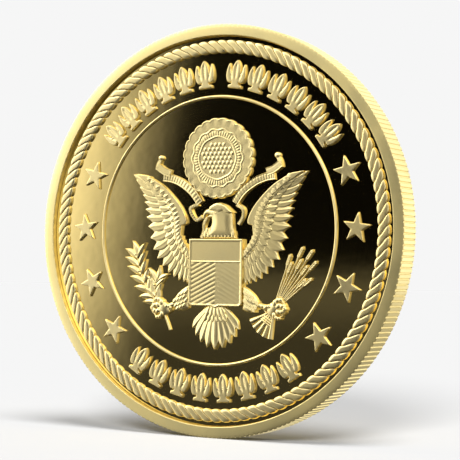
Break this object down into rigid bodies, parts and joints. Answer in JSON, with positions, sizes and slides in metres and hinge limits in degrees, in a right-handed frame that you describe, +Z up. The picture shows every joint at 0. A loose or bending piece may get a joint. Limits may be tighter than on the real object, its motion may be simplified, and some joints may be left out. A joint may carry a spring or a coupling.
{
  "type": "challenge coin",
  "caption": "Round gold-plated commemorative coin with a reeded edge, rope borders, mirror fields and a frosted bird-of-prey device under a medallion.",
  "frame": {"origin": "the coin's centre, midway between its two faces", "axes": "+Z up with the coin standing on its edge, -Y out of the obverse (the bird's face), +Y out of the reverse, +X to the right as the obverse is looked at"},
  "size_m": [0.04, 0.0028, 0.04],
  "materials": {
    "satin_gold": "gold plated, satin",
    "mirror_gold": "gold plated, mirror polished",
    "frosted_gold": "gold plated, frosted by sandblasting",
    "core_brass": "plain rolled brass"
  },
  "bodies": {
    "root": {"bottom_palmette_01": "frosted_gold", "bottom_palmette_02": "frosted_gold", "bottom_palmette_03": "frosted_gold", "bottom_palmette_04": "frosted_gold", "bottom_palmette_05": "frosted_gold", "bottom_palmette_06": "frosted_gold", "bottom_palmette_07": "frosted_gold", "bottom_palmette_08": "frosted_gold", "core_disc": "core_brass", "edge_ring": "satin_gold", "grain_sheaf": "frosted_gold", "head_and_neck": "frosted_gold", "leaf_sprig": "frosted_gold", "leg_left": "frosted_gold", "leg_right": "frosted_gold", "medallion": "frosted_gold", "obverse_plate": "mirror_gold", "obverse_ring_line": "frosted_gold", "obverse_rope_border": "frosted_gold", "reverse_plate": "mirror_gold", "reverse_ring_line": "frosted_gold", "reverse_rope_border": "frosted_gold", "reverse_star": "frosted_gold", "ribbon_left": "frosted_gold", "ribbon_right": "frosted_gold", "shield": "frosted_gold", "star_01": "frosted_gold", "star_02": "frosted_gold", "star_03": "frosted_gold", "star_04": "frosted_gold", "star_05": "frosted_gold", "star_06": "frosted_gold", "star_07": "frosted_gold", "star_08": "frosted_gold", "tail": "frosted_gold", "top_palmette_01": "frosted_gold", "top_palmette_02": "frosted_gold", "top_palmette_03": "frosted_gold", "top_palmette_04": "frosted_gold", "top_palmette_05": "frosted_gold", "top_palmette_06": "frosted_gold", "top_palmette_07": "frosted_gold", "top_palmette_08": "frosted_gold", "top_palmette_09": "frosted_gold", "top_palmette_10": "frosted_gold", "top_palmette_11": "frosted_gold", "top_palmette_12": "frosted_gold", "wing_left": "frosted_gold", "wing_right": "frosted_gold", "wreath_left": "frosted_gold", "wreath_right": "frosted_gold"}
  },
  "joints": []
}
